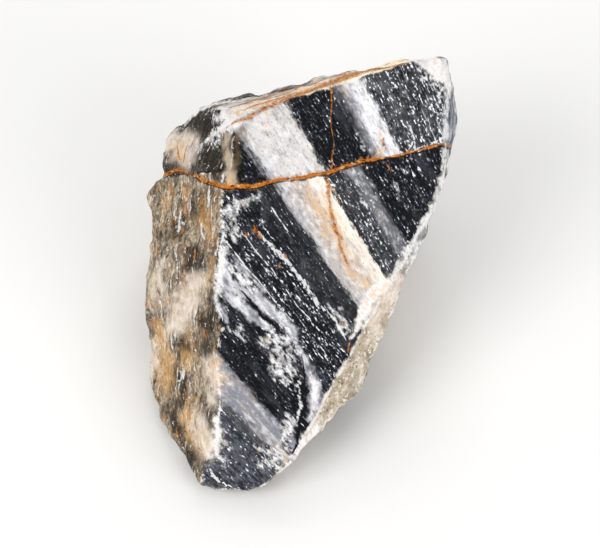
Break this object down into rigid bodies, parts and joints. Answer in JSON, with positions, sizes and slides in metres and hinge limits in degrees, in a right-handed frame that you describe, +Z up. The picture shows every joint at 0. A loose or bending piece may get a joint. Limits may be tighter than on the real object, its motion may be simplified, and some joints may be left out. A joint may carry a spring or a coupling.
{
  "type": "aquascaping rock",
  "caption": "Wedge-shaped broken piece of banded black and white marble with a sloping front face, a weathered side and a flat base, for laying out planted aquariums.",
  "frame": {"origin": "on the table, under the middle of the stone's bounding box", "axes": "+Z up, -Y toward the low toe of the sloping front face, +X to the right of someone who looks at that face"},
  "size_m": [0.1182, 0.1574, 0.0936],
  "materials": {
    "stone": "rough broken marble"
  },
  "bodies": {
    "root": {"rock": "stone"}
  },
  "joints": []
}
